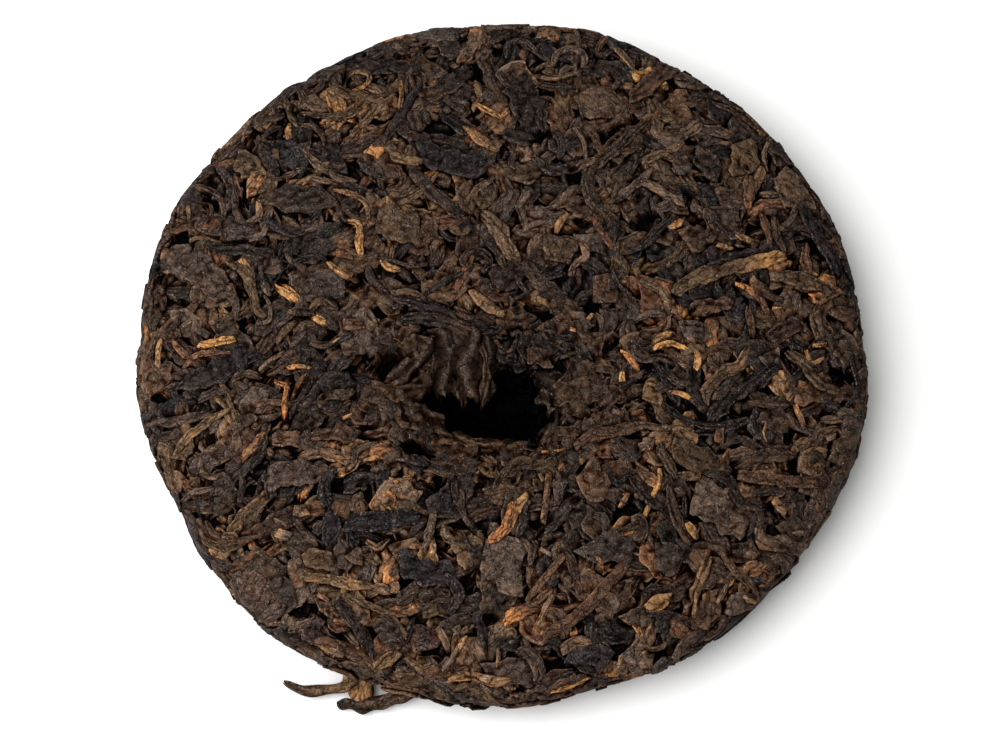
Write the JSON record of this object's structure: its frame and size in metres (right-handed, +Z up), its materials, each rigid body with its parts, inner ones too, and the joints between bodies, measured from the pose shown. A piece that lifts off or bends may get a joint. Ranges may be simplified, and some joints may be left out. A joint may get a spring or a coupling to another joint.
{
  "type": "pu erh tea cake",
  "caption": "Round cake of pressed ripe tea leaf, domed on its resting face, with a funnel and knot hole pressed into the upper face; leaves stand proud all over it",
  "frame": {"origin": "middle of the flat spot that the cake rests on, under the centre of its round outline", "axes": "+Z up out of the dimpled face, the cake's shortest extent; +Y away from the viewer of the picture; the dimple lies off centre towards -Y"},
  "size_m": [0.1902, 0.1906, 0.0259],
  "materials": {
    "pressed_tea": "matt dry leaf"
  },
  "bodies": {
    "root": {"tea_cake": "pressed_tea"}
  },
  "joints": []
}
